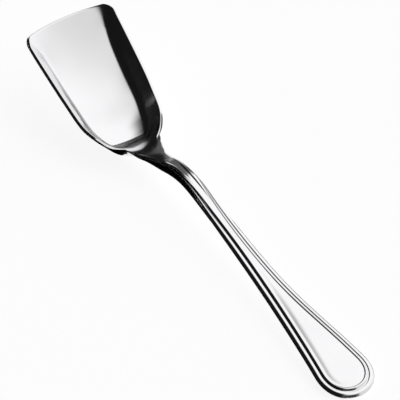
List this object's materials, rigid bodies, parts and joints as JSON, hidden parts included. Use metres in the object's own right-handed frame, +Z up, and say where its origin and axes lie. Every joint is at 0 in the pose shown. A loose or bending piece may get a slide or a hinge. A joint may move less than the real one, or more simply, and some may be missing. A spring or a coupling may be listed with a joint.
{
  "type": "ice cream spoon",
  "caption": "Flat-fronted spade spoon with a shallow square-backed bowl, a thin waisted neck and a long handle that widens to a round end with a double-thread border.",
  "frame": {"origin": "middle of the spoon's length and width, on the table it rests on", "axes": "+X from the lip of the bowl towards the handle's end, +Y across to the left side seen from above with the handle pointing away, +Z up from the table"},
  "size_m": [0.1382, 0.0274, 0.0202],
  "materials": {
    "polished_steel": "mirror polished"
  },
  "bodies": {
    "root": {"spoon": "polished_steel"}
  },
  "joints": []
}
